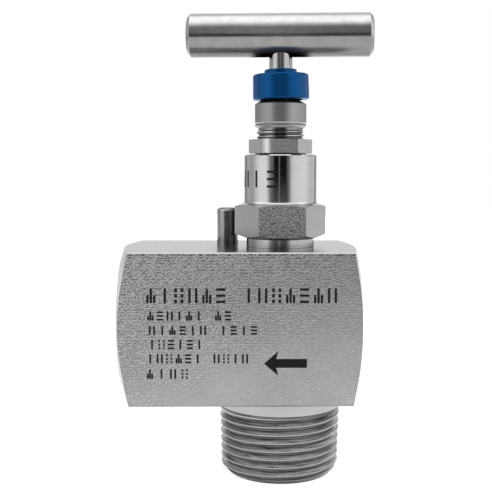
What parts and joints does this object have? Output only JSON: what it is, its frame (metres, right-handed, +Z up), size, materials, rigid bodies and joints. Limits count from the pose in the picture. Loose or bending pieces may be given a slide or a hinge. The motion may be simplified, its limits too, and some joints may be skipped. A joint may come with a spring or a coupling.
{
  "type": "needle valve",
  "caption": "Angle needle valve with a square body, taper pipe threads, a screwed bonnet with packing gland and a T-bar handle on a rising stem.",
  "frame": {"origin": "centre of the male inlet's end face, on the stem axis", "axes": "+Z up along the stem, from the inlet to the handle; -X out of the female outlet port; -Y the marked front face"},
  "size_m": [0.0683, 0.04, 0.1256],
  "materials": {
    "body_steel": "fine crinkled grain, satin",
    "turned_steel": "fine turned, bright",
    "dark_steel": "black oxide",
    "graphite": "pressed graphite, matt",
    "packing_plastic": "white fluoropolymer, waxy",
    "black_rubber": "moulded",
    "blue_plastic": "moulded, glossy"
  },
  "bodies": {
    "valve": {"valve_body": "body_steel", "bonnet": "turned_steel", "bonnet_seal_ring": "graphite", "bonnet_lock_pin": "turned_steel", "packing_base_washer": "turned_steel", "packing_header_ring": "packing_plastic", "packing_ring_lower": "packing_plastic", "packing_ring_middle": "packing_plastic", "packing_ring_upper": "packing_plastic", "packing_follower_ring": "packing_plastic", "gland_ring": "turned_steel", "gland_adjuster": "turned_steel", "adjuster_lock_nut": "turned_steel", "stem_wiper_ring": "black_rubber"},
    "needle": {"needle_tip": "turned_steel", "thrust_ball": "turned_steel"},
    "stem_and_handle": {"stem": "turned_steel", "dust_cap": "blue_plastic", "handle_bar": "turned_steel", "handle_set_screw": "dark_steel"}
  },
  "joints": [
    {"name": "stem_rise", "type": "slide", "parent": "valve", "child": "needle", "axis": [0, 0, 1], "range_m": [0, 0.0042]},
    {"name": "handle_turn", "type": "hinge", "parent": "needle", "child": "stem_and_handle", "pos_m": [0, 0, 0.1], "axis": [0, 0, 1], "range_deg": [0, 1170]}
  ],
  "couplings": [
    {"joint": "stem_rise", "follows": "handle_turn", "m_per_rad": 0.00020213}
  ]
}
